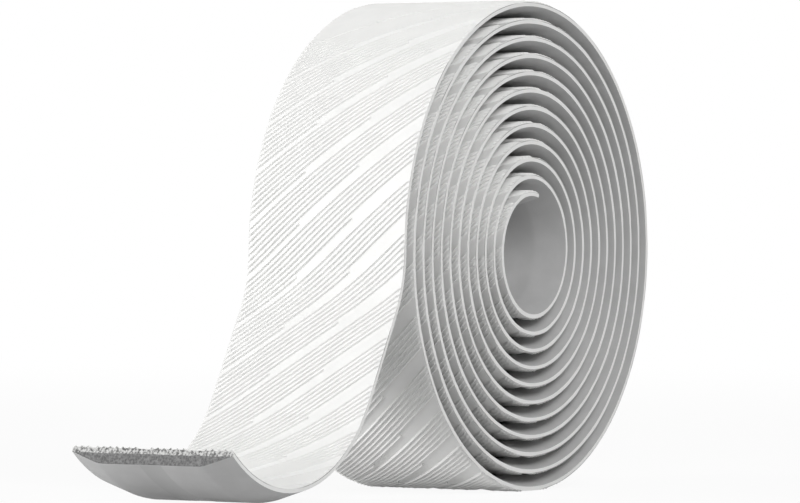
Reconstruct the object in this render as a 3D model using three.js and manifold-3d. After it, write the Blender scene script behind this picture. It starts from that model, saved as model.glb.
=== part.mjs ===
import * as THREE from 'three';
import { mergeVertices } from 'three/addons/utils/BufferGeometryUtils.js';
import Module from 'manifold-3d';

// Handlebar tape wound into a roll, with its outer end sprung away from the roll.
// Millimetres and degrees, +Z up. The roll's axis runs along Y and the loose end
// reaches out toward -X. The origin is on the floor, in the small flat that the soft
// roll presses into itself at its lowest point.

// The tape's section: a flat face, two thin edges, and a back with a bevel along each edge
const TAPE_WIDTH = 30;
const TAPE_THICKNESS = 2.75;
const EDGE_THICKNESS = 1.0;
const BEVEL_WIDTH = 5.3;

// The roll, wound with its face outward
const CORE_RADIUS = 7.5;
const TURN_CLEARANCE = 0.18;
const WHOLE_TURNS = 11;
const INNER_END_ANGLE = 78;
const DEPARTURE_ANGLE = 180;
const REST_FLAT_LENGTH = 9.5;

// The loose end: it bends outward at the shoulder, slopes down, and lifts at its tip
const SHOULDER_RADIUS = 19.6;
const SLOPE_ANGLE = 59.4;
const LIFT_RADIUS = 26.3;
const LIFT_ANGLE = 40.9;
const FLOOR_GAP = 1.3;

// The ribs of the face. They come in groups of grooves that slant across the tape. All the
// grooves of a group start at the far edge, at +Y. Most run to the near edge, and the last
// two end in a step, each after its own reach from the far edge.
const GROOVE_SPACING = 1.05;
const GROOVE_DEPTH = 0.3;
const GROOVE_WALL = 0.25;
const GROOVE_SLANT = 41.3;
const FULL_GROOVES = 6;
const LONG_STEPPED_REACH = 19.6;
const SHORT_STEPPED_REACH = 9.5;
const STEP_LENGTH = 0.4;
const GROUP_GAP = 0.5;
const LAST_GROUP_TO_TIP = 0.15;

// Facets: how far one leaves the true curve, as a share of the room between two turns,
// and how many carry a rib across the tape
const SAG_SHARE = 0.42;
const FACETS_ACROSS = 4;

// Angles are turned from +X toward +Z, as seen from -Y
const BOTTOM_ANGLE = 270;
const DOWN = THREE.MathUtils.degToRad(BOTTOM_ANGLE);
const LEVEL_OUTWARD = Math.PI;

const turnPitch = TAPE_THICKNESS + TURN_CLEARANCE;
const innerFaceRadius = CORE_RADIUS + TAPE_THICKNESS;
const woundAngle = 360 * WHOLE_TURNS + DEPARTURE_ANGLE - INNER_END_ANGLE;

function faceRadiusAfter(degreesWound) {
  return innerFaceRadius + turnPitch * degreesWound / 360;
}

function facetLength(bendRadius) {
  return Math.sqrt(8 * SAG_SHARE * TURN_CLEARANCE * bendRadius);
}

// The outermost turn passes the roll's lowest point once, before the tape leaves the roll
const woundToBottom = woundAngle - 360 + BOTTOM_ANGLE - DEPARTURE_ANGLE;
const bottomRadius = faceRadiusAfter(woundToBottom);
const axisHeight = Math.sqrt(bottomRadius ** 2 - (REST_FLAT_LENGTH / 2) ** 2);

// A run is a stretch of the line that the tape's face draws when seen from the side.
// Each one gives its length, and the place and the heading at a distance along it.

class SpiralRun {
  constructor(axis, startRadius, growth, startAngle, turned) {
    Object.assign(this, { axis, startRadius, growth, startAngle });
    this.endRadius = startRadius + growth * turned;
    this.length = this.distanceTo(this.endRadius);
  }

  // Length of an Archimedean spiral from its pole to a radius
  arcTo(radius) {
    const slant = Math.hypot(radius, this.growth);
    return (radius * slant / this.growth + this.growth * Math.asinh(radius / this.growth)) / 2;
  }

  distanceTo(radius) {
    return this.arcTo(radius) - this.arcTo(this.startRadius);
  }

  radiusAt(distance) {
    const arc = this.arcTo(this.startRadius) + distance;
    let radius = Math.sqrt(2 * this.growth * arc);
    for (let round = 0; round < 4; round += 1) {
      radius -= (this.arcTo(radius) - arc) * this.growth / Math.hypot(radius, this.growth);
    }
    return radius;
  }

  at(distance) {
    const radius = this.radiusAt(distance);
    const angle = this.startAngle + (radius - this.startRadius) / this.growth;
    return {
      x: this.axis.x + radius * Math.cos(angle),
      z: this.axis.z + radius * Math.sin(angle),
      heading: angle + Math.PI / 2 - Math.atan(this.growth / radius),
      bendRadius: radius,
    };
  }
}

// A bend from one heading to another, toward the face's side or away from it
class BendRun {
  constructor(start, radius, endHeading) {
    Object.assign(this, { start, radius });
    this.side = Math.sign(start.heading - endHeading);
    this.length = radius * Math.abs(start.heading - endHeading);
  }

  at(distance) {
    const heading = this.start.heading - this.side * distance / this.radius;
    const toCentre = this.side * this.radius;
    return {
      x: this.start.x + toCentre * (Math.sin(this.start.heading) - Math.sin(heading)),
      z: this.start.z - toCentre * (Math.cos(this.start.heading) - Math.cos(heading)),
      heading,
      bendRadius: this.radius,
    };
  }
}

class StraightRun {
  constructor(start, length) {
    Object.assign(this, { start, length });
  }

  at(distance) {
    return {
      x: this.start.x + distance * Math.cos(this.start.heading),
      z: this.start.z + distance * Math.sin(this.start.heading),
      heading: this.start.heading,
      bendRadius: Infinity,
    };
  }
}

function woundRun() {
  const axis = { x: 0, z: axisHeight };
  const growth = turnPitch / (2 * Math.PI);
  const startAngle = THREE.MathUtils.degToRad(INNER_END_ANGLE);
  return new SpiralRun(axis, innerFaceRadius, growth, startAngle, THREE.MathUtils.degToRad(woundAngle));
}

// The slope is as long as it takes for the back to pass FLOOR_GAP above the floor
function looseRuns(departure) {
  const slopeHeading = LEVEL_OUTWARD + THREE.MathUtils.degToRad(SLOPE_ANGLE);
  const tipHeading = LEVEL_OUTWARD - THREE.MathUtils.degToRad(LIFT_ANGLE);
  const wholeTurns = Math.round((departure.heading - DOWN) / (2 * Math.PI));
  const start = { ...departure, heading: departure.heading - 2 * Math.PI * wholeTurns };
  const shoulder = new BendRun(start, SHOULDER_RADIUS, slopeHeading);
  const slopeStart = shoulder.at(shoulder.length);
  const liftDrop = LIFT_RADIUS * (1 - Math.cos(slopeHeading - LEVEL_OUTWARD));
  const slopeDrop = slopeStart.z - liftDrop - FLOOR_GAP - TAPE_THICKNESS;
  const slope = new StraightRun(slopeStart, slopeDrop / -Math.sin(slopeHeading));
  const lift = new BendRun(slope.at(slope.length), LIFT_RADIUS, tipHeading);
  return [shoulder, slope, lift];
}

const wound = woundRun();
const runs = [wound, ...looseRuns(wound.at(wound.length))];
const tapeLength = runs.reduce((sum, run) => sum + run.length, 0);

function lineAt(distance) {
  let rest = distance;
  for (const run of runs.slice(0, -1)) {
    if (rest < run.length) {
      return run.at(rest);
    }
    rest -= run.length;
  }
  return runs.at(-1).at(rest);
}

// Facets of the allowed sag on this stretch meet at these distances along the tape
function facetStations(from, to) {
  const stations = [];
  let runStart = 0;
  for (const run of runs) {
    const first = Math.max(from, runStart);
    const end = Math.min(to, runStart + run.length);
    if (end > first) {
      const marks = [first];
      while (marks.at(-1) < end) {
        const { bendRadius } = run.at(marks.at(-1) - runStart);
        marks.push(marks.at(-1) + Math.min(end - first, facetLength(bendRadius)));
      }
      const fit = (end - first) / (marks.at(-1) - first);
      stations.push(...marks.slice(0, -1).map((mark) => first + (mark - first) * fit));
    }
    runStart += run.length;
  }
  stations.push(to);
  return stations;
}

// The skin is made of corners that lie at a distance along the tape, a place across it,
// and a depth below its face. Corners at one place are one.
class Skin {
  constructor() {
    this.corners = [];
    this.found = new Map();
    this.index = [];
  }

  corner(along, across, depth) {
    const key = [along, across, depth].map((value) => value.toFixed(4)).join();
    if (!this.found.has(key)) {
      this.found.set(key, this.corners.length);
      this.corners.push({ along, across, depth });
    }
    return this.found.get(key);
  }

  triangle(a, b, c) {
    if (a !== b && b !== c && c !== a) {
      this.index.push(a, b, c);
    }
  }

  // Fills the strip between two rows of corners that both run the same way
  strip(row, nextRow, measure) {
    const reach = (corner) => measure(this.corners[corner]);
    let a = 0;
    let b = 0;
    while (a < row.length - 1 || b < nextRow.length - 1) {
      const nextIsDone = b === nextRow.length - 1;
      if (nextIsDone || (a < row.length - 1 && reach(row[a + 1]) <= reach(nextRow[b + 1]))) {
        this.triangle(row[a + 1], row[a], nextRow[b]);
        a += 1;
      } else {
        this.triangle(row[a], nextRow[b], nextRow[b + 1]);
        b += 1;
      }
    }
  }

  // Fills a flat outline. Its triangles turn the way the outline does.
  fill(outline, flatten) {
    const points = outline.map((corner) => flatten(this.corners[corner]));
    const turn = Math.sign(THREE.ShapeUtils.area(points));
    for (const [a, b, c] of THREE.ShapeUtils.triangulateShape(points, [])) {
      const sameTurn = turn * THREE.ShapeUtils.area([points[a], points[b], points[c]]) > 0;
      this.triangle(outline[a], outline[sameTurn ? b : c], outline[sameTurn ? c : b]);
    }
  }

  geometry() {
    const positions = [];
    for (const { along, across, depth } of this.corners) {
      const { x, z, heading } = lineAt(along);
      positions.push(x - depth * Math.sin(heading), across, z + depth * Math.cos(heading));
    }
    const geometry = new THREE.BufferGeometry();
    geometry.setAttribute('position', new THREE.Float32BufferAttribute(positions, 3));
    geometry.setIndex(this.index);
    return geometry;
  }
}

const farEdge = TAPE_WIDTH / 2;
const nearEdge = -TAPE_WIDTH / 2;
const grooveSlope = Math.tan(THREE.MathUtils.degToRad(GROOVE_SLANT));

// The ribs are modelled where they show: on the outermost turn, apart from the flat under
// the roll, and out to the tip, where the tape was cut through them
function ribbedStretches() {
  const flatMiddle = wound.distanceTo(bottomRadius);
  return [
    { from: wound.distanceTo(wound.endRadius - turnPitch), to: flatMiddle - REST_FLAT_LENGTH },
    { from: flatMiddle + REST_FLAT_LENGTH, to: tapeLength },
  ];
}

// Each groove is two slanting lines: the face's edge at its brink, and its foot. From the
// foot the face rises again to the next groove's brink, so that the ribs lap like scales.
function ribLines({ from, to }) {
  const fullReaches = Array(FULL_GROOVES).fill(TAPE_WIDTH);
  const reaches = [...fullReaches, LONG_STEPPED_REACH, SHORT_STEPPED_REACH];
  const groupSpacing = reaches.length * GROOVE_SPACING + GROUP_GAP;
  const halfSpread = grooveSlope * farEdge;
  const lastGroup = tapeLength - LAST_GROUP_TO_TIP;
  const groupsPastTip = Math.ceil(halfSpread / groupSpacing);
  const groupsBack = Math.ceil((lastGroup - from + halfSpread) / groupSpacing) + 1;
  const lines = [];
  for (let group = -groupsBack; group <= groupsPastTip; group += 1) {
    reaches.forEach((reach, place) => {
      const brink = lastGroup + group * groupSpacing + place * GROOVE_SPACING;
      lines.push({ middle: brink, reach: 0 });
      lines.push({ middle: brink + GROOVE_WALL, reach });
    });
  }
  return lines
    .filter(({ middle }) => middle + halfSpread > from && middle - halfSpread < to)
    .sort((one, other) => one.middle - other.middle);
}

// A groove keeps its depth to its reach, and has none past the step
function grooveDepth(line, across) {
  const isPastStep = farEdge - across > line.reach + STEP_LENGTH / 2;
  return line.reach === 0 || isPastStep ? 0 : GROOVE_DEPTH;
}

function placesAcross(line) {
  const places = [];
  for (let facet = 0; facet <= FACETS_ACROSS; facet += 1) {
    places.push(farEdge - TAPE_WIDTH * facet / FACETS_ACROSS);
  }
  if (line.reach > 0 && line.reach < TAPE_WIDTH) {
    places.push(farEdge - line.reach, farEdge - line.reach - STEP_LENGTH);
  }
  return places.sort((one, other) => other - one);
}

// One row of corners for each line. Where a line runs out of the stretch, its row goes on
// along the stretch's limit, and shares the corners there with the other rows.
function ribbedRows(skin, stretch) {
  const lines = ribLines(stretch);
  const crossing = (line, limit) => (limit - line.middle) / grooveSlope;
  const limitRow = (limit) => {
    const isCutThrough = limit === tapeLength;
    const row = [skin.corner(limit, farEdge, 0), skin.corner(limit, nearEdge, 0)];
    for (const line of lines) {
      const across = crossing(line, limit);
      if (Math.abs(across) < farEdge) {
        row.push(skin.corner(limit, across, isCutThrough ? grooveDepth(line, across) : 0));
      }
    }
    return row.sort((one, other) => skin.corners[other].across - skin.corners[one].across);
  };
  const startRow = limitRow(stretch.from);
  const endRow = limitRow(stretch.to);
  const rows = lines.map((line) => {
    const highest = crossing(line, stretch.to);
    const lowest = crossing(line, stretch.from);
    const between = placesAcross(line).filter((across) => across < highest && across > lowest);
    return [
      ...endRow.filter((corner) => skin.corners[corner].across >= highest),
      ...between.map((across) => (
        skin.corner(line.middle + grooveSlope * across, across, grooveDepth(line, across))
      )),
      ...startRow.filter((corner) => skin.corners[corner].across <= lowest),
    ];
  });
  return [startRow, ...rows, endRow];
}

function plainRows(skin, from, to) {
  return facetStations(from, to).map((along) => (
    [skin.corner(along, farEdge, 0), skin.corner(along, nearEdge, 0)]
  ));
}

function withoutRepeats(row) {
  return row.filter((corner, place) => corner !== row[place - 1]);
}

// The bottom of an edge has a corner below the first flat part of its top past each station
function bottomPlaces(skin, top, stations) {
  const places = [0];
  let next = 1;
  for (let place = 1; place < top.length - 1; place += 1) {
    const { along, depth } = skin.corners[top[place]];
    if (depth === 0 && along >= stations[next]) {
      places.push(place);
      while (stations[next] <= along) {
        next += 1;
      }
    }
  }
  places.push(top.length - 1);
  return places;
}

function fillEdge(skin, top, across, isNear, stations) {
  const picked = bottomPlaces(skin, top, stations);
  const bottom = picked.map((place) => skin.corner(skin.corners[top[place]].along, across, EDGE_THICKNESS));
  for (let cell = 1; cell < picked.length; cell += 1) {
    const upper = top.slice(picked[cell - 1], picked[cell] + 1);
    const outline = [bottom[cell - 1], bottom[cell], ...upper.reverse()];
    if (isNear) {
      outline.reverse();
    }
    skin.fill(outline, ({ along, depth }) => new THREE.Vector2(along, depth));
  }
  return bottom;
}

function tapeSkin() {
  const skin = new Skin();
  const rows = [];
  const stations = [];
  let done = 0;
  for (const stretch of ribbedStretches()) {
    rows.push(...plainRows(skin, done, stretch.from), ...ribbedRows(skin, stretch));
    stations.push(...facetStations(done, stretch.from), ...facetStations(stretch.from, stretch.to));
    done = stretch.to;
  }
  const backStations = withoutRepeats(stations);
  for (let place = 1; place < rows.length; place += 1) {
    skin.strip(rows[place - 1], rows[place], ({ across }) => -across);
  }
  const farTop = withoutRepeats(rows.map((row) => row[0]));
  const nearTop = withoutRepeats(rows.map((row) => row.at(-1)));
  const farBottom = fillEdge(skin, farTop, farEdge, false, backStations);
  const nearBottom = fillEdge(skin, nearTop, nearEdge, true, backStations);
  const backEdge = farEdge - BEVEL_WIDTH;
  const farBack = backStations.map((along) => skin.corner(along, backEdge, TAPE_THICKNESS));
  const nearBack = backStations.map((along) => skin.corner(along, -backEdge, TAPE_THICKNESS));
  const byLength = ({ along }) => along;
  skin.strip(farBottom, farBack, byLength);
  skin.strip(farBack, nearBack, byLength);
  skin.strip(nearBack, nearBottom, byLength);
  const section = ({ across, depth }) => new THREE.Vector2(across, depth);
  const lower = [farBottom, farBack, nearBack, nearBottom];
  const innerEnd = [...lower.map((line) => line[0]), ...[...rows[0]].reverse()];
  const tip = [...lower.map((line) => line.at(-1)), ...[...rows.at(-1)].reverse()];
  skin.fill(innerEnd.reverse(), section);
  skin.fill(tip, section);
  return skin;
}

const wasm = await Module();
wasm.setup();

function solidOf(geometry) {
  return new wasm.Manifold(new wasm.Mesh({
    numProp: 3,
    vertProperties: new Float32Array(geometry.attributes.position.array),
    triVerts: new Uint32Array(geometry.index.array),
  }));
}

function geometryOf(solid) {
  const mesh = solid.getMesh();
  const geometry = new THREE.BufferGeometry();
  geometry.setAttribute('position', new THREE.BufferAttribute(mesh.vertProperties, 3));
  geometry.setIndex(new THREE.BufferAttribute(mesh.triVerts, 1));
  geometry.computeVertexNormals();
  return geometry;
}

// The floor presses the roll's lowest point flat
function pressedFlat(tape) {
  const floorDepth = bottomRadius;
  const floor = new THREE.BoxGeometry(2 * bottomRadius, 2 * TAPE_WIDTH, floorDepth);
  floor.translate(0, 0, -floorDepth / 2);
  floor.deleteAttribute('normal');
  floor.deleteAttribute('uv');
  return geometryOf(solidOf(tape).subtract(solidOf(mergeVertices(floor))));
}

const handlebarTape = new THREE.Mesh(
  pressedFlat(tapeSkin().geometry()),
  new THREE.MeshStandardMaterial({ color: 0xf1f0ed, roughness: 0.7, metalness: 0 }),
);
handlebarTape.name = 'handlebar_tape';

const tapeRoll = new THREE.Group();
tapeRoll.name = 'tape_roll';
tapeRoll.add(handlebarTape);

export default tapeRoll;
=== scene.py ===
"""Looks of a roll of foam handlebar tape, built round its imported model. Metres, +Z up.

The tape is one strip: a white skin with slanting ribs on a thicker grey foam, whose long
edges are bevelled on the back. It is wound with its ribbed face outward.
"""

import math

import bmesh
import bpy
import numpy as np
from mathutils import Matrix, Vector, noise
from mathutils.geometry import delaunay_2d_cdt


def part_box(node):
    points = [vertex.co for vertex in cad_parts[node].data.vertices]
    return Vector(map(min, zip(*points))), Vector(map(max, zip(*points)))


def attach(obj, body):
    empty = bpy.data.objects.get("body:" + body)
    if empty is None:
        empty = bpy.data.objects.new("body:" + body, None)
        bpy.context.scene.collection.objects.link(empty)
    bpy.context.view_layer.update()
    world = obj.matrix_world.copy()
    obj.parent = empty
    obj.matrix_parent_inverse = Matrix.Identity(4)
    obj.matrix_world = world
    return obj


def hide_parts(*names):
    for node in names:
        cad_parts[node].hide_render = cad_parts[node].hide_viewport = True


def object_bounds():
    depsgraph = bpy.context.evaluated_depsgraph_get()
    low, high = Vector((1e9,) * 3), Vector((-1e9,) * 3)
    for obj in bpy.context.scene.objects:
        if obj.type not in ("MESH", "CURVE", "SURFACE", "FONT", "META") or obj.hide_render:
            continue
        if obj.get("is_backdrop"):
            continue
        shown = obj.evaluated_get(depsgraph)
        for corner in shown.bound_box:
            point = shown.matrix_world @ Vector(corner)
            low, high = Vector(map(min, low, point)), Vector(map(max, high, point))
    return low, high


bl_info = {
    "name": "Handlebar Tape Roll",
    "version": (1, 0, 0),
    "blender": (4, 5, 0),
    "location": "3D View > Sidebar > Tape Roll",
    "description": "Builds the ribbed foam tape, its finishes and a plain studio",
    "category": "Add Mesh",
}

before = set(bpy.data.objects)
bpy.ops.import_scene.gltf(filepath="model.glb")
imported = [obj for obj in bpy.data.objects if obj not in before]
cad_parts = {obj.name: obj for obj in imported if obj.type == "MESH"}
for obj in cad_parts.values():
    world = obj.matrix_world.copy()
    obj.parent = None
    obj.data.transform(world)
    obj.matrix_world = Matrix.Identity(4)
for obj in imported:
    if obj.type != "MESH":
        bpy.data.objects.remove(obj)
cad_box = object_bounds()
NODE = "handlebar_tape"
BODY = "root"
# Straight down, as an angle seen from the side, where 0 is along +X and a quarter turn is up
DOWN = 1.5 * math.pi
# Edges of the tape that turn by more than this look sharp
SHARP_ANGLE = math.radians(14)
# The floor's grey paint, and the share of plain white that the camera sees in its place:
# one share up to the near distance from the middle, and more of it from the far one on
FLOOR_PAINT = 0.8
FLOOR_WHITE_NEAR = 0.92
FLOOR_WHITE_MORE = 0.08
FLOOR_NEAR = 0.15
FLOOR_FAR = 0.8
FLOOR_SIDES = 96
# The camera sees nothing that is closer than this
NEAREST_SEEN = 0.01
node_low, node_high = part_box(NODE)


class TapeSizes(bpy.types.PropertyGroup):
    """The strip's section, and how it is wound and laid"""

    width: bpy.props.FloatProperty(
        name="Width", description="Across the tape",
        default=node_high.y - node_low.y, unit="LENGTH")
    thickness: bpy.props.FloatProperty(
        name="Thickness", description="From the face to the back",
        default=0.00275, unit="LENGTH")
    edge_thickness: bpy.props.FloatProperty(
        name="Edge thickness", description="The white skin, which is all there is at the edges",
        default=0.0010, unit="LENGTH")
    bevel_width: bpy.props.FloatProperty(
        name="Bevel width", description="Of the slope along each edge of the back",
        default=0.0053, unit="LENGTH")
    rim_width: bpy.props.FloatProperty(
        name="Rim width", description="Over which the ribs fade out along each edge",
        default=0.00045, unit="LENGTH")
    rim_drop: bpy.props.FloatProperty(
        name="Rim drop", description="From the ribs' tops to the corner of the face and an edge",
        default=0.00033, unit="LENGTH")
    strip_width: bpy.props.FloatProperty(
        name="Strip width", description="The tacky strip along the middle of the back",
        default=0.0038, unit="LENGTH")
    strip_depth: bpy.props.FloatProperty(
        name="Strip depth", description="How far the strip lies below the foam round it",
        default=0.00003, unit="LENGTH")
    strip_edge: bpy.props.FloatProperty(
        name="Strip edge", description="Over which the strip sinks, on each side",
        default=0.0003, unit="LENGTH")
    back_round: bpy.props.FloatProperty(
        name="Back round", description="Width of the soft turn from the back into each bevel",
        default=0.0009, unit="LENGTH")
    tip_lean: bpy.props.FloatProperty(
        name="Tip lean", description="Of the cut at the tip, away from square through the tape",
        default=math.radians(20), subtype="ANGLE")
    core_radius: bpy.props.FloatProperty(
        name="Core radius", description="From the axis to the back of the first turn",
        default=0.0075, unit="LENGTH")
    turn_clearance: bpy.props.FloatProperty(
        name="Turn clearance", description="Between one turn and the next",
        default=0.00018, unit="LENGTH")
    whole_turns: bpy.props.IntProperty(
        name="Whole turns", description="Full turns in the roll", default=11)
    inner_end_angle: bpy.props.FloatProperty(
        name="Inner end", description="Where the inner end lies round the axis",
        default=math.radians(78), subtype="ANGLE")
    departure_angle: bpy.props.FloatProperty(
        name="Departure", description="Where the loose end leaves the roll",
        default=math.radians(180), subtype="ANGLE")
    rest_flat_length: bpy.props.FloatProperty(
        name="Rest flat", description="Length that the floor presses flat",
        default=0.0095, unit="LENGTH")
    shoulder_radius: bpy.props.FloatProperty(
        name="Shoulder radius", description="Where the loose end turns outward",
        default=0.0196, unit="LENGTH")
    slope_angle: bpy.props.FloatProperty(
        name="Slope", description="Of the loose end under the shoulder",
        default=math.radians(59.4), subtype="ANGLE")
    lift_radius: bpy.props.FloatProperty(
        name="Lift radius", description="Where the loose end turns up again",
        default=0.0263, unit="LENGTH")
    lift_angle: bpy.props.FloatProperty(
        name="Lift", description="How steeply the tip points up",
        default=math.radians(40.9), subtype="ANGLE")
    floor_gap: bpy.props.FloatProperty(
        name="Floor gap", description="Under the lowest stretch of the loose end",
        default=0.0013, unit="LENGTH")


class RibSizes(bpy.types.PropertyGroup):
    """The slanting ribs of the face, which come in groups"""

    spacing: bpy.props.FloatProperty(
        name="Spacing", description="From one crease to the next along the tape",
        default=0.00105, unit="LENGTH")
    group_gap: bpy.props.FloatProperty(
        name="Group gap", description="Added after the last crease of a group",
        default=0.0005, unit="LENGTH")
    slant: bpy.props.FloatProperty(
        name="Slant", description="Of the ribs, away from straight across",
        default=math.radians(41.3), subtype="ANGLE")
    depth: bpy.props.FloatProperty(
        name="Depth", description="From a rib's brink down to its foot",
        default=0.00030, unit="LENGTH")
    field_rise: bpy.props.FloatProperty(
        name="Field rise", description="Of the flat from one rib's foot to the next rib",
        default=0.00008, unit="LENGTH")
    slope_width: bpy.props.FloatProperty(
        name="Slope width", description="Of a rib's gentle side",
        default=0.00032, unit="LENGTH")
    wall_width: bpy.props.FloatProperty(
        name="Wall width", description="Of a rib's steep side",
        default=0.00020, unit="LENGTH")
    full_ribs: bpy.props.IntProperty(
        name="Full ribs", description="Creases of a group that run from edge to edge",
        default=6)
    long_reach: bpy.props.FloatProperty(
        name="Long reach", description="Of the crease before the last, from the far edge",
        default=0.0196, unit="LENGTH")
    short_reach: bpy.props.FloatProperty(
        name="Short reach", description="Of the last crease, from the far edge",
        default=0.0095, unit="LENGTH")
    step_length: bpy.props.FloatProperty(
        name="Step length", description="Over which a stepped crease ends",
        default=0.00014, unit="LENGTH")
    last_group_to_tip: bpy.props.FloatProperty(
        name="Last group", description="From its first crease to the tip, at mid-width",
        default=0.00015, unit="LENGTH")


class Finish(bpy.types.PropertyGroup):
    """Colours of the strip"""

    skin: bpy.props.FloatVectorProperty(
        name="Skin", description="The white ribbed face and its edges",
        subtype="COLOR", default=(0.80, 0.80, 0.79))
    back: bpy.props.FloatVectorProperty(
        name="Back", description="The smooth moulded back of the foam",
        subtype="COLOR", default=(0.47, 0.47, 0.47))
    cut: bpy.props.FloatVectorProperty(
        name="Cut foam", description="The cells of the foam where the tape was cut",
        subtype="COLOR", default=(0.20, 0.20, 0.20))


class Studio(bpy.types.PropertyGroup):
    """Camera, lamps and floor"""

    camera_place: bpy.props.FloatVectorProperty(
        name="Camera", description="Where the camera stands",
        subtype="TRANSLATION", default=(-0.75996, -0.43990, 0.04613))
    azimuth: bpy.props.FloatProperty(
        name="Azimuth", description="Of the camera, from straight in front of the near edge",
        default=math.radians(-59.3), subtype="ANGLE")
    elevation: bpy.props.FloatProperty(
        name="Elevation", description="Of the camera", default=math.radians(0.36),
        subtype="ANGLE")
    roll: bpy.props.FloatProperty(
        name="Roll", description="Of the camera about its line of sight",
        default=math.radians(0.18), subtype="ANGLE")
    lens: bpy.props.FloatProperty(
        name="Lens", description="Focal length in millimetres", default=230.2)
    surround: bpy.props.FloatProperty(
        name="Surround", description="Strength of the even light from all sides",
        default=0.19)
    key_place: bpy.props.FloatVectorProperty(
        name="Key lamp", description="Low on the far side, so that it rakes the ribs",
        subtype="TRANSLATION", default=(-0.867, 0.840, 0.209))
    key_power: bpy.props.FloatProperty(
        name="Key power", description="Of the key lamp", default=13.4, unit="POWER")
    fill_place: bpy.props.FloatVectorProperty(
        name="Fill lamp", description="Raised in front of the near edge",
        subtype="TRANSLATION", default=(-0.485, -0.827, 0.781))
    fill_power: bpy.props.FloatProperty(
        name="Fill power", description="Of the fill lamp", default=8.5, unit="POWER")
    top_place: bpy.props.FloatVectorProperty(
        name="Top lamp", description="High beyond the roll, so that the ribs fade at its top",
        subtype="TRANSLATION", default=(0.573, 0.0, 1.081))
    top_power: bpy.props.FloatProperty(
        name="Top power", description="Of the top lamp", default=2.9, unit="POWER")
    lamp_size: bpy.props.FloatProperty(
        name="Lamp size", description="Across each of the soft lamps", default=0.7,
        unit="LENGTH")
    floor_radius: bpy.props.FloatProperty(
        name="Floor", description="Radius of the floor", default=4.0, unit="LENGTH")


def spiral_arc(radius, growth):
    """Length of an Archimedean spiral from its pole to a radius."""
    slant = np.hypot(radius, growth)
    return (radius * slant / growth + growth * np.arcsinh(radius / growth)) / 2


class TapeLine:
    """The line of the tape's face, seen from the side, by the distance along it."""

    NEWTON_STEPS = 4

    def __init__(self, sizes):
        pitch = sizes.thickness + sizes.turn_clearance
        self.growth = pitch / math.tau
        self.start_radius = sizes.core_radius + sizes.thickness
        self.start_angle = sizes.inner_end_angle
        wound = math.tau * sizes.whole_turns + sizes.departure_angle - sizes.inner_end_angle
        bottom = wound - math.tau + DOWN - sizes.departure_angle
        self.bottom_radius = self.start_radius + self.growth * bottom
        self.axis_height = math.sqrt(
            self.bottom_radius**2 - (sizes.rest_flat_length / 2) ** 2)
        self.end_radius = self.start_radius + self.growth * wound
        self.wound_length = float(self.arc_to(self.end_radius))
        self.bends = []
        self.length = self.wound_length
        self.add_loose_end(sizes)

    def arc_to(self, radius):
        return spiral_arc(radius, self.growth) - spiral_arc(self.start_radius, self.growth)

    def radius_at(self, distance):
        """The spiral's radius at a distance along it, from a first guess made better."""
        arc = spiral_arc(self.start_radius, self.growth) + distance
        radius = np.sqrt(2 * self.growth * arc)
        for _ in range(self.NEWTON_STEPS):
            miss = spiral_arc(radius, self.growth) - arc
            radius -= miss * self.growth / np.hypot(radius, self.growth)
        return radius

    def on_spiral(self, distance):
        radius = self.radius_at(distance)
        angle = self.start_angle + (radius - self.start_radius) / self.growth
        x = radius * np.cos(angle)
        z = self.axis_height + radius * np.sin(angle)
        return x, z, angle + math.pi / 2 - np.arctan(self.growth / radius)

    def add_loose_end(self, sizes):
        """A shoulder, a slope as long as it takes to reach the floor gap, and a lift."""
        x, z, heading = (float(v) for v in self.on_spiral(np.float64(self.wound_length)))
        heading -= math.tau * round((heading - DOWN) / math.tau)
        slope_heading = math.pi + sizes.slope_angle
        tip_heading = math.pi - sizes.lift_angle
        start = x, z, heading
        start = self.add_bend(start, sizes.shoulder_radius, slope_heading)
        lift_drop = sizes.lift_radius * (1 - math.cos(slope_heading - math.pi))
        drop = start[1] - lift_drop - sizes.floor_gap - sizes.thickness
        start = self.add_run(start, drop / -math.sin(slope_heading), 0.0)
        self.add_bend(start, sizes.lift_radius, tip_heading)

    def add_bend(self, start, radius, heading):
        side = math.copysign(1, start[2] - heading)
        return self.add_run(start, radius * abs(start[2] - heading), side / radius)

    def add_run(self, start, length, curvature):
        self.bends.append((self.length, *start, curvature))
        self.length += length
        return tuple(float(v) for v in self.on_bend(self.bends[-1], self.length))

    @staticmethod
    def on_bend(bend, distance):
        begin, x, z, heading, curvature = bend
        travelled = distance - begin
        now = heading - curvature * travelled
        if curvature == 0:
            return x + travelled * math.cos(heading), z + travelled * math.sin(heading), now
        return (
            x + (math.sin(heading) - np.sin(now)) / curvature,
            z - (math.cos(heading) - np.cos(now)) / curvature,
            now,
        )

    def at(self, distance):
        x, z, heading = self.on_spiral(np.minimum(distance, self.wound_length))
        for bend in self.bends:
            past = distance >= bend[0]
            bx, bz, bh = self.on_bend(bend, distance)
            x, z = np.where(past, bx, x), np.where(past, bz, z)
            heading = np.where(past, bh, heading)
        return x, z, heading

    def places(self, along, across, depth):
        """Points in space for points of the flat strip."""
        x, z, heading = self.at(along)
        return np.stack(
            [x - depth * np.sin(heading), across, z + depth * np.cos(heading)], axis=-1)


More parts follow.
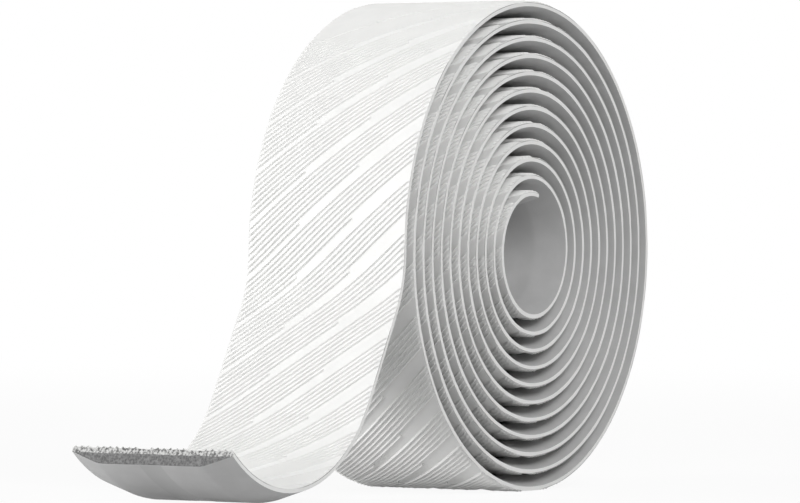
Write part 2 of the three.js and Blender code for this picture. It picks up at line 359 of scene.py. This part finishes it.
class StripMesh:
    """The tape laid flat, open at its ends: slanting rows on the face, straighter ones behind.

    Points lie along, across and below the face.
    """

    SKIN, BACK, CUT = range(3)
    # How far a facet may stray from the bend, on the outer turn and inside the roll
    SAG_OUTSIDE = 0.00002
    SAG_INSIDE = 0.00005
    # Rows whose radii lie in one band of this width have the same places across
    RADIUS_BAND = 0.004
    # Creases past each end, for the cuts to take off
    SPARE_CREASES = 3

    def __init__(self, sizes, ribs):
        self.sizes = sizes
        self.ribs = ribs
        self.line = TapeLine(sizes)
        self.half = sizes.width / 2
        self.slope = math.tan(ribs.slant)
        self.taper = (sizes.thickness - sizes.edge_thickness) / sizes.bevel_width
        self.points = []
        self.faces = []
        self.slots = []

    def reach_of(self, rib):
        if rib < self.ribs.full_ribs:
            return math.inf
        return (self.ribs.long_reach, self.ribs.short_reach)[rib - self.ribs.full_ribs]

    def has_rib(self, rib, across):
        last = self.ribs.full_ribs + 1
        return rib <= last and self.half - across < self.reach_of(rib) + self.ribs.step_length / 2

    def rib_rows(self, rib):
        """Rows of one crease: how far from it each lies, and how deep it is across the tape.

        Going outward along the tape, the face rises gently to a brink and falls steeply.
        """
        r = self.ribs
        middle = r.wall_width / 2

        def rise(across):
            lifted = rib > 0 and self.has_rib(rib, across)
            return r.depth - (r.field_rise if lifted else 0.0)

        def brink(across):
            return 0.0 if self.has_rib(rib, across) else r.depth

        def foot(across):
            return r.depth

        return [(-middle - r.slope_width, rise), (-middle, brink), (middle, foot)]

    def columns(self, radius, fine):
        """Places across the face, from the far edge to the near one."""
        s, r = self.sizes, self.ribs
        inner = self.half - s.bevel_width
        outer = self.half - s.rim_width
        sag = self.SAG_OUTSIDE if fine else self.SAG_INSIDE
        chord = math.sqrt(8 * radius * sag)
        pitch = chord / self.slope
        marks = [outer, inner]
        if fine:
            for reach in (r.short_reach, r.long_reach):
                marks += [self.half - reach, self.half - reach - r.step_length]
        marks += [-inner, -outer]
        places = [self.half]
        for a, b in zip(marks, marks[1:]):
            count = max(1, math.ceil((a - b) / pitch))
            places += [a - (a - b) * i / count for i in range(count)]
        return places + [-outer, -self.half]

    def add(self, along, across, depth):
        self.points.append((along, across, depth))
        return len(self.points) - 1

    def face(self, corners, slot):
        self.faces.append(corners)
        self.slots.append(slot)

    def zip_rows(self, row, places, nxt, next_places):
        a = b = 0
        while a < len(row) - 1 or b < len(nxt) - 1:
            if b == len(nxt) - 1 or (
                    a < len(row) - 1 and places[a + 1] >= next_places[b + 1]):
                self.face((row[a], nxt[b], row[a + 1]), self.SKIN)
                a += 1
            else:
                self.face((row[a], nxt[b], nxt[b + 1]), self.SKIN)
                b += 1

    def add_row(self, middle, depth_at, places):
        """The corners of one row across the face."""
        ends = places[0], places[-1]
        return [
            self.add(
                middle + self.slope * across, across,
                self.sizes.rim_drop if across in ends else depth_at(across))
            for across in places]

    def build(self):
        r = self.ribs
        in_group = r.full_ribs + 2
        group = in_group * r.spacing + r.group_gap
        first = self.line.length - r.last_group_to_tip
        spread = self.slope * self.half + self.SPARE_CREASES * r.spacing
        low = -math.ceil((first + spread) / group)
        high = math.ceil((spread + r.last_group_to_tip) / group)
        outer_turn = self.line.arc_to(
            self.line.end_radius - math.tau * self.line.growth) - spread
        tops, starts, before = [], [], None
        for number in range(low * in_group, (high + 1) * in_group):
            rib = number % in_group
            crease = first + number // in_group * group + rib * r.spacing
            if not -spread < crease < self.line.length + spread:
                continue
            radius = float(self.line.radius_at(np.clip(crease, 0, self.line.wound_length)))
            steady = self.line.start_radius + self.RADIUS_BAND * math.floor(
                (radius - self.line.start_radius) / self.RADIUS_BAND)
            places = self.columns(max(steady, self.line.start_radius), crease > outer_turn)
            for part, (offset, depth_at) in enumerate(self.rib_rows(rib)):
                row = self.add_row(crease + offset, depth_at, places)
                self.join(before, row, places)
                before = row, places
                if part == 0:
                    starts.append((len(tops), crease + offset))
                tops.append(row)
        self.add_rims_and_back(tops, starts, group / in_group)

    def add_rims_and_back(self, tops, starts, mean_spacing):
        """The two edges, and the back in rows that run nearly straight across."""
        s = self.sizes
        lean = self.slope * self.half
        far = [self.add(middle + lean, self.half, s.edge_thickness) for _, middle in starts]
        near = [self.add(middle - lean, -self.half, s.edge_thickness) for _, middle in starts]
        for i, ((a, _), (b, _)) in enumerate(zip(starts, starts[1:])):
            between = tops[a:b + 1]
            self.face((*(row[0] for row in between), far[i + 1], far[i]), self.SKIN)
            self.face((*(row[-1] for row in reversed(between)), near[i], near[i + 1]), self.SKIN)
        one_side = self.back_outline()
        under = one_side + [(-across, depth) for across, depth in reversed(one_side)]
        rows = []
        for a, b in zip(far, near[round(2 * lean / mean_spacing):]):
            begin, end = self.points[a][0], self.points[b][0]
            middle = [
                self.add(begin + (end - begin) * (self.half - across) / s.width, across, depth)
                for across, depth in under]
            rows.append([a, *middle, b])
        for row, nxt in zip(rows, rows[1:]):
            for i in range(len(row) - 1):
                self.face((row[i], nxt[i], nxt[i + 1], row[i + 1]), self.BACK)

    def back_outline(self):
        """The section's back, from the far bevel to the middle."""
        s = self.sizes
        inner = self.half - s.bevel_width
        soft = s.back_round / 2
        strip = s.strip_width / 2
        return [
            (inner + soft, s.thickness - self.taper * soft), (inner - soft, s.thickness),
            (strip + s.strip_edge, s.thickness), (strip, s.thickness - s.strip_depth)]

    def join(self, before, row, places):
        if before is None:
            return
        last, last_places = before
        if last_places == places:
            for i in range(len(row) - 1):
                self.face((last[i], last[i + 1], row[i + 1], row[i]), self.SKIN)
        else:
            self.zip_rows(last, last_places, row, places)


def noise_at(across, depth, size, seed):
    return noise.noise(Vector((across / size, depth / size, seed)))


class TapeBuilder:
    """Turns the strip into one closed mesh, wound, laid and cut off at both ends."""

    # The cut foam's large and small lumps, and how far they stand out of the cut
    CELL = 0.00028
    GRAIN = 0.00016
    ROUGH = 0.00004
    LARGE_SEED = 1.0
    SMALL_SEED = 7.0
    # Lumps keep this share of a small one clear of the outline, and shift by up to as much
    MARGIN = 0.6
    ACROSS_SEED = 3.0
    DEPTH_SEED = 5.0
    # What lies further than this past an end goes before the cut is made
    SPARE = 0.003
    # How far the outline's sides bow out while the cut is filled
    BOW = 0.00002
    # The cut is filled in millimetres, out to the outline's hull
    MM = 1000
    WHOLE_HULL = 0
    CUT_TOLERANCE = 1e-8
    FILL_TOLERANCE = 1e-5

    def __init__(self, strip):
        self.strip = strip
        self.line = strip.line
        self.bm = bmesh.new()
        self.flat = self.bm.verts.layers.float_vector.new("strip")

    def build(self):
        points = np.array(self.strip.points)
        places = self.line.places(*points.T)
        verts = [self.bm.verts.new(co) for co in places]
        for vert, flat in zip(verts, points):
            vert[self.flat] = flat
        for corners, slot in zip(self.strip.faces, self.strip.slots):
            face = self.bm.faces.new([verts[i] for i in corners])
            face.material_index = slot
            face.smooth = True
        self.cut(0.0, -1, 0.0)
        self.cut(self.line.length, 1, self.strip.sizes.tip_lean)
        for vert in self.bm.verts:
            vert.co.z = max(vert.co.z, 0.0)
        bmesh.ops.recalc_face_normals(self.bm, faces=self.bm.faces)
        return self.bm

    def cut(self, end, way, lean):
        """Cuts the strip at one end, and closes it with the rough cells of cut foam."""
        reach = self.strip.half
        beyond = [v for v in self.bm.verts if way * (v[self.flat].x - end) > self.SPARE]
        bmesh.ops.delete(self.bm, geom=beyond, context="VERTS")
        near = [v for v in self.bm.verts if way * (end - v[self.flat].x) < reach]
        inside = set(near)
        faces = [f for f in self.bm.faces if all(v in inside for v in f.verts)]
        edges = {e for f in faces for e in f.edges}
        x, z, heading = (float(v) for v in self.line.at(np.float64(end)))
        heading += lean
        outward = Vector((math.cos(heading), 0, math.sin(heading))) * way
        made = bmesh.ops.bisect_plane(
            self.bm, geom=[*near, *edges, *faces], dist=self.CUT_TOLERANCE,
            plane_co=(x, 0, z), plane_no=outward, clear_outer=True)
        loop = [e for e in made["geom_cut"]
                if isinstance(e, bmesh.types.BMEdge) and e.is_boundary]
        self.close(loop, end, math.tan(lean), outward)

    def close(self, loop, end, lean, outward):
        """Fills the loop that a cut leaves with triangles between the lumps of the foam."""
        rim = list({v for e in loop for v in e.verts})
        number = {v: i for i, v in enumerate(rim)}
        outline = [self.bowed(v[self.flat].y, v[self.flat].z) for v in rim]
        edges = [(number[e.verts[0]], number[e.verts[1]]) for e in loop]
        inner = list(self.cells())
        out = delaunay_2d_cdt(
            [p * self.MM for p in outline + inner], edges, [],
            self.WHOLE_HULL, self.FILL_TOLERANCE, True)
        places, _, triangles, origins = out[:4]
        flat = np.array([tuple(p) for p in places])
        triangles = np.array(triangles)
        begins, ends = (np.array([outline[e[i]] * self.MM for e in edges]) for i in (0, 1))
        triangles = triangles[self.within(flat[triangles].mean(axis=1), begins, ends)]
        found = []
        for place, origin in zip(places, origins):
            if origin and origin[0] < len(rim):
                found.append(rim[origin[0]])
                continue
            across, depth = place / self.MM
            co = Vector(self.line.places(*np.float64((end - depth * lean, across, depth))))
            large = noise_at(across, depth, self.CELL, self.LARGE_SEED)
            small = noise_at(across, depth, self.GRAIN, self.SMALL_SEED)
            vert = self.bm.verts.new(co + outward * self.ROUGH * (large + small))
            vert[self.flat] = (end, across, depth)
            found.append(vert)
        for corners in triangles:
            face = self.bm.faces.new([found[i] for i in corners])
            face.material_index = StripMesh.CUT

    @staticmethod
    def within(places, begins, ends):
        """Whether each place is inside an outline: a line from it crosses an odd count of edges."""
        x, y = places[:, :1], places[:, 1:]
        (x0, y0), (x1, y1) = begins.T, ends.T
        passes = (y0 > y) != (y1 > y)
        with np.errstate(divide="ignore", invalid="ignore"):
            beside = x < x0 + (y - y0) * (x1 - x0) / (y1 - y0)
        return (passes & beside).sum(axis=1) % 2 == 1

    def bowed(self, across, depth):
        """A place on the section's outline, whose sides bow out so that no three are in line."""
        s = self.strip.sizes
        bow = self.BOW * (1 - (across / self.strip.half) ** 2)
        on_back = depth > (s.rim_drop + s.edge_thickness) / 2
        return Vector((across, depth + (bow if on_back else -bow)))

    def cells(self):
        """Places inside the section, far enough from its outline."""
        s = self.strip.sizes
        taper = self.strip.taper
        margin = self.GRAIN * self.MARGIN
        count = math.ceil(s.width / self.GRAIN)
        rows = math.ceil(s.thickness / self.GRAIN)
        for i in range(count):
            for j in range(rows):
                at = i * self.CELL, j * self.CELL, self.GRAIN
                across = (i + 0.5) * self.GRAIN - s.width / 2
                depth = (j + 0.5) * self.GRAIN
                across += noise_at(*at, self.ACROSS_SEED) * margin
                depth += noise_at(*at, self.DEPTH_SEED) * margin
                from_edge = s.width / 2 - abs(across)
                bevel = s.edge_thickness + taper * from_edge
                turn = s.thickness + (from_edge - s.bevel_width - s.back_round / 2) * taper / 2
                floor = min(s.thickness - s.strip_depth, bevel, turn)
                roof = self.strip.ribs.depth
                if from_edge > margin and roof + margin < depth < floor - margin:
                    yield Vector((across, depth))


class Value:
    """A shader socket in arithmetic: an expression on values adds its Math nodes."""

    def __init__(self, graph, socket):
        self.graph = graph
        self.socket = socket

    def maths(self, operation, *inputs):
        node = self.graph.node(
            "ShaderNodeMath", {"operation": operation}, dict(enumerate(inputs)))
        return Value(self.graph, node.outputs[0])

    def __add__(self, other):
        return self.maths("ADD", self, other)

    __radd__ = __add__

    def __sub__(self, other):
        return self.maths("SUBTRACT", self, other)

    def __rsub__(self, other):
        return self.maths("SUBTRACT", other, self)

    def __mul__(self, other):
        return self.maths("MULTIPLY", self, other)

    __rmul__ = __mul__

    def __abs__(self):
        return self.maths("ABSOLUTE", self)

    def at_most(self, limit):
        return self.maths("MINIMUM", self, limit)

    def step(self, low, high):
        """0 up to low, 1 from high on, and smooth between."""
        node = self.graph.node("ShaderNodeMapRange", {"interpolation_type": "SMOOTHSTEP"}, {
            "Value": self, "From Min": low, "From Max": high})
        return Value(self.graph, node.outputs[0])


class Graph:
    """The nodes of one material or of the world."""

    def __init__(self, owner):
        owner.use_nodes = True
        self.tree = owner.node_tree
        self.tree.nodes.clear()

    def node(self, kind, settings=None, inputs=None):
        node = self.tree.nodes.new(kind)
        for name, value in (settings or {}).items():
            setattr(node, name, value)
        for name, value in (inputs or {}).items():
            socket = node.inputs[name]
            if isinstance(value, Value):
                self.tree.links.new(value.socket, socket)
            else:
                socket.default_value = value
        return node

    def out(self, node, name=0):
        return Value(self, node.outputs[name])

    def place(self):
        """Coordinates on the object, in metres."""
        return self.out(self.node("ShaderNodeTexCoord"), "Object")

    def strip(self):
        """How far across the tape a point lies, and how deep below the ribs' tops."""
        node = self.node("ShaderNodeAttribute", {"attribute_name": "strip"})
        parts = self.node("ShaderNodeSeparateXYZ", inputs={0: self.out(node, "Vector")})
        return self.out(parts, "Y"), self.out(parts, "Z")

    def noise(self, size, detail=2.0, roughness=0.5):
        node = self.node("ShaderNodeTexNoise", {"noise_dimensions": "3D"}, {
            "Vector": self.place(), "Scale": 1 / size, "Detail": detail,
            "Roughness": roughness})
        return self.out(node, 0)

    def cells(self, size):
        node = self.node("ShaderNodeTexVoronoi", {"feature": "F1"}, {
            "Vector": self.place(), "Scale": 1 / size})
        return self.out(node, "Distance")

    def mix(self, factor, a, b):
        """Colours mixed. The node's sockets share their names, so they go by number."""
        node = self.node("ShaderNodeMix", {"data_type": "RGBA"}, {0: factor, 6: a, 7: b})
        return self.out(node, 2)

    def bump(self, height, distance, strength=1.0):
        node = self.node("ShaderNodeBump", inputs={
            "Height": height, "Distance": distance, "Strength": strength})
        return self.out(node)

    def surface(self, inputs):
        shader = self.node("ShaderNodeBsdfPrincipled", inputs=inputs)
        self.output(self.out(shader), "ShaderNodeOutputMaterial")

    def output(self, shader, kind):
        self.node(kind, inputs={"Surface": shader})


def shade(colour, by):
    """A colour made lighter or darker, as a socket takes it."""
    return (*(min(1.0, c * by) for c in colour), 1.0)


def skin_material(finish, sizes):
    """Matte polyurethane skin: an even white with a faint mottle, a fine grain, and a
    painted shade line, a dark line that comes and goes along each edge just below the face."""
    material = bpy.data.materials.new("tape_skin")
    g = Graph(material)
    across, depth = g.strip()
    half = sizes.width / 2
    edge_begins = half - 0.00006
    edge_is_full = half - 0.00002
    # Painted shade: the dark line along each edge lies this far below the corner of the face
    shade_line_below_corner = 0.00005
    on_edge = abs(across).step(low=edge_begins, high=edge_is_full)
    from_shade_line = abs(depth - sizes.rim_drop - shade_line_below_corner)
    patches = g.noise(size=0.011, detail=2.0).step(low=0.4, high=0.58)
    # Painted shade: a dark line on each edge, just below the face, in patches along the tape
    edge_shade_line = (1 - from_shade_line.step(low=0.00004, high=0.00009)) * on_edge * patches
    mottle = g.noise(size=0.004, detail=3.0).step(low=0.35, high=0.7)
    grain = g.noise(size=0.00018, detail=3.0, roughness=0.6)
    pores = g.cells(size=0.00035)
    white = g.mix(mottle, shade(finish.skin, by=0.975), shade(finish.skin, by=1.0))
    # How far the painted shade line darkens the skin
    shade_line_share = 0.8
    roughness_least = 0.44
    roughness_more = 0.16
    g.surface({
        "Base Color": g.mix(edge_shade_line * shade_line_share, white, shade(finish.skin, by=0.3)),
        "Roughness": grain * roughness_more + roughness_least,
        "Specular IOR Level": 0.35,
        "Normal": g.bump(grain * 0.6 + pores * 0.4, distance=0.00002, strength=0.55),
    })
    return material


def back_material(finish, sizes):
    """Moulded foam: smooth, grey and matte, with a slightly darker tacky strip."""
    material = bpy.data.materials.new("tape_back")
    g = Graph(material)
    across, _ = g.strip()
    half = sizes.strip_width / 2
    strip_fade = 0.0002
    strip = 1 - abs(across).step(low=half, high=half + strip_fade)
    mottle = g.noise(size=0.003, detail=3.0).step(low=0.3, high=0.75)
    grain = g.noise(size=0.00015, detail=3.0, roughness=0.6)
    plain = g.mix(mottle, shade(finish.back, by=0.96), shade(finish.back, by=1.02))
    roughness_least = 0.62
    grain_rougher = 0.12
    strip_smoother = 0.12
    g.surface({
        "Base Color": g.mix(strip, plain, shade(finish.back, by=0.87)),
        "Roughness": roughness_least + grain * grain_rougher - strip * strip_smoother,
        "Specular IOR Level": 0.3,
        "Normal": g.bump(grain, distance=0.00002, strength=0.5),
    })
    return material


def cut_material(finish, sizes):
    """Cut through: a speckled white layer on dark open cells."""
    material = bpy.data.materials.new("tape_cut")
    g = Graph(material)
    _, depth = g.strip()
    noise_middle = 0.5
    wander_width = 0.0003
    layer_fade = 0.00012
    skin_depth = sizes.edge_thickness
    wander = (g.noise(size=0.0006, detail=2.0) - noise_middle) * wander_width
    foam = (depth + wander).step(low=skin_depth, high=skin_depth + layer_fade)
    cells = g.cells(size=0.00042)
    specks = g.noise(size=0.00022, detail=4.0, roughness=0.7)
    clumps = g.noise(size=0.00045, detail=3.0, roughness=0.6)
    white = g.mix(
        clumps.step(low=0.36, high=0.6),
        shade(finish.skin, by=0.16), shade(finish.skin, by=0.72))
    grey = g.mix(
        (specks * 0.7 + cells * 0.5).step(low=0.35, high=0.9),
        shade(finish.cut, by=0.55), shade(finish.cut, by=1.2))
    roughness_most = 0.85
    specks_smoother = 0.1
    g.surface({
        "Base Color": g.mix(foam, white, grey),
        "Roughness": roughness_most - specks * specks_smoother,
        "Specular IOR Level": 0.2,
        "Normal": g.bump(specks * 0.6 + cells * 0.6, distance=0.00006, strength=0.8),
    })
    return material


class TAPE_OT_strip(bpy.types.Operator):
    """Builds the whole tape as one closed piece, with its ribs, bevels and cut ends"""

    bl_idname = "tape_roll.strip"
    bl_label = "Tape"

    def execute(self, context):
        scene = context.scene
        strip = StripMesh(scene.tape_sizes, scene.rib_sizes)
        strip.build()
        bm = TapeBuilder(strip).build()
        mesh = bpy.data.meshes.new("tape_strip")
        bm.to_mesh(mesh)
        bm.free()
        sizes, finish = scene.tape_sizes, scene.tape_finish
        mesh.materials.append(skin_material(finish, sizes))
        mesh.materials.append(back_material(finish, sizes))
        mesh.materials.append(cut_material(finish, sizes))
        mesh.set_sharp_from_angle(angle=SHARP_ANGLE)
        tape = bpy.data.objects.new("tape_strip", mesh)
        scene.collection.objects.link(tape)
        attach(tape, BODY)
        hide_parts(NODE)
        return {"FINISHED"}


def add_area_lamp(name, place, target, size, power):
    lamp = bpy.data.lights.new(name, "AREA")
    lamp.shape = "DISK"
    lamp.size = size
    lamp.energy = power
    lamp_object = bpy.data.objects.new(name, lamp)
    lamp_object.location = place
    toward = Vector(place) - Vector(target)
    lamp_object.rotation_euler = toward.to_track_quat("Z", "Y").to_euler()
    bpy.context.scene.collection.objects.link(lamp_object)


def seen_share(g, share):
    """Share of white that a surface gives off to the camera and to reflections only."""
    path = g.node("ShaderNodeLightPath")
    seen = g.out(path, "Is Camera Ray") + g.out(path, "Is Glossy Ray")
    return (seen + g.out(path, "Is Transmission Ray")).at_most(1.0) * share


class TAPE_OT_stage(bpy.types.Operator):
    """Sets up the camera, the soft lamps, the surround and a plain pale floor"""

    bl_idname = "tape_roll.stage"
    bl_label = "Studio"

    def execute(self, context):
        scene = context.scene
        studio = scene.tape_studio
        self.add_camera(scene, studio)
        self.add_floor(scene, studio)
        self.add_world(scene, studio)
        middle = (node_low + node_high) / 2
        for name in ("key", "fill", "top"):
            place = getattr(studio, name + "_place")
            power = getattr(studio, name + "_power")
            add_area_lamp(name, place, middle, studio.lamp_size, power)
        scene.view_settings.view_transform = "Standard"
        return {"FINISHED"}

    @staticmethod
    def add_camera(scene, studio):
        camera = bpy.data.cameras.new("camera")
        camera.lens = studio.lens
        camera.clip_start = NEAREST_SEEN
        camera_object = bpy.data.objects.new("camera", camera)
        level = math.cos(studio.elevation)
        back = Vector((
            math.sin(studio.azimuth) * level,
            -math.cos(studio.azimuth) * level,
            math.sin(studio.elevation)))
        turn = back.to_track_quat("Z", "Y").to_matrix() @ Matrix.Rotation(studio.roll, 3, "Z")
        camera_object.matrix_world = Matrix.Translation(studio.camera_place) @ turn.to_4x4()
        scene.collection.objects.link(camera_object)
        scene.camera = camera_object

    @staticmethod
    def add_floor(scene, studio):
        mesh = bpy.data.meshes.new("floor")
        bm = bmesh.new()
        bmesh.ops.create_circle(
            bm, cap_ends=True, segments=FLOOR_SIDES, radius=studio.floor_radius)
        bm.to_mesh(mesh)
        bm.free()
        material = bpy.data.materials.new("floor")
        g = Graph(material)
        grey = (FLOOR_PAINT, FLOOR_PAINT, FLOOR_PAINT, 1)
        paint = g.node("ShaderNodeBsdfDiffuse", inputs={"Color": grey})
        white = g.node("ShaderNodeEmission", inputs={"Strength": 1.0})
        away = g.node("ShaderNodeVectorMath", {"operation": "LENGTH"}, {0: g.place()})
        far = g.out(away, "Value").step(low=FLOOR_NEAR, high=FLOOR_FAR)
        share = seen_share(g, far * FLOOR_WHITE_MORE + FLOOR_WHITE_NEAR)
        both = g.node("ShaderNodeMixShader", inputs={
            0: share, 1: g.out(paint), 2: g.out(white)})
        g.output(g.out(both), "ShaderNodeOutputMaterial")
        mesh.materials.append(material)
        floor = bpy.data.objects.new("floor", mesh)
        scene.collection.objects.link(floor)
        floor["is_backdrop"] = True

    @staticmethod
    def add_world(scene, studio):
        world = bpy.data.worlds.new("surround")
        scene.world = world
        g = Graph(world)
        strength = seen_share(g, 1 - studio.surround) + studio.surround
        light = g.node("ShaderNodeBackground", inputs={
            "Color": (1, 1, 1, 1), "Strength": strength})
        g.output(g.out(light), "ShaderNodeOutputWorld")


class TAPE_PT_panel(bpy.types.Panel):
    """The tape roll's steps and sizes"""

    bl_idname = "TAPE_PT_panel"
    bl_label = "Tape Roll"
    bl_space_type = "VIEW_3D"
    bl_region_type = "UI"
    bl_category = "Tape Roll"

    def draw(self, context):
        for operator in OPERATORS:
            self.layout.operator(operator.bl_idname)
        for name in GROUPS:
            box = self.layout.box()
            group = getattr(context.scene, name)
            for prop in group.bl_rna.properties:
                if not prop.is_readonly and prop.identifier != "name":
                    box.prop(group, prop.identifier)


GROUPS = {
    "tape_sizes": TapeSizes,
    "rib_sizes": RibSizes,
    "tape_finish": Finish,
    "tape_studio": Studio,
}
OPERATORS = (TAPE_OT_stage, TAPE_OT_strip)


def register():
    for cls in (*GROUPS.values(), *OPERATORS, TAPE_PT_panel):
        bpy.utils.register_class(cls)
    for name, cls in GROUPS.items():
        setattr(bpy.types.Scene, name, bpy.props.PointerProperty(type=cls))


def unregister():
    for name in GROUPS:
        delattr(bpy.types.Scene, name)
    for cls in reversed((*GROUPS.values(), *OPERATORS, TAPE_PT_panel)):
        bpy.utils.unregister_class(cls)


def main():
    register()
    bpy.ops.tape_roll.stage()
    bpy.ops.tape_roll.strip()
    boxes = {"cad": cad_box, "visual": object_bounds()}
    {k: [list(corner) for corner in box] for k, box in boxes.items()}


if __name__ == "__main__":
    main()
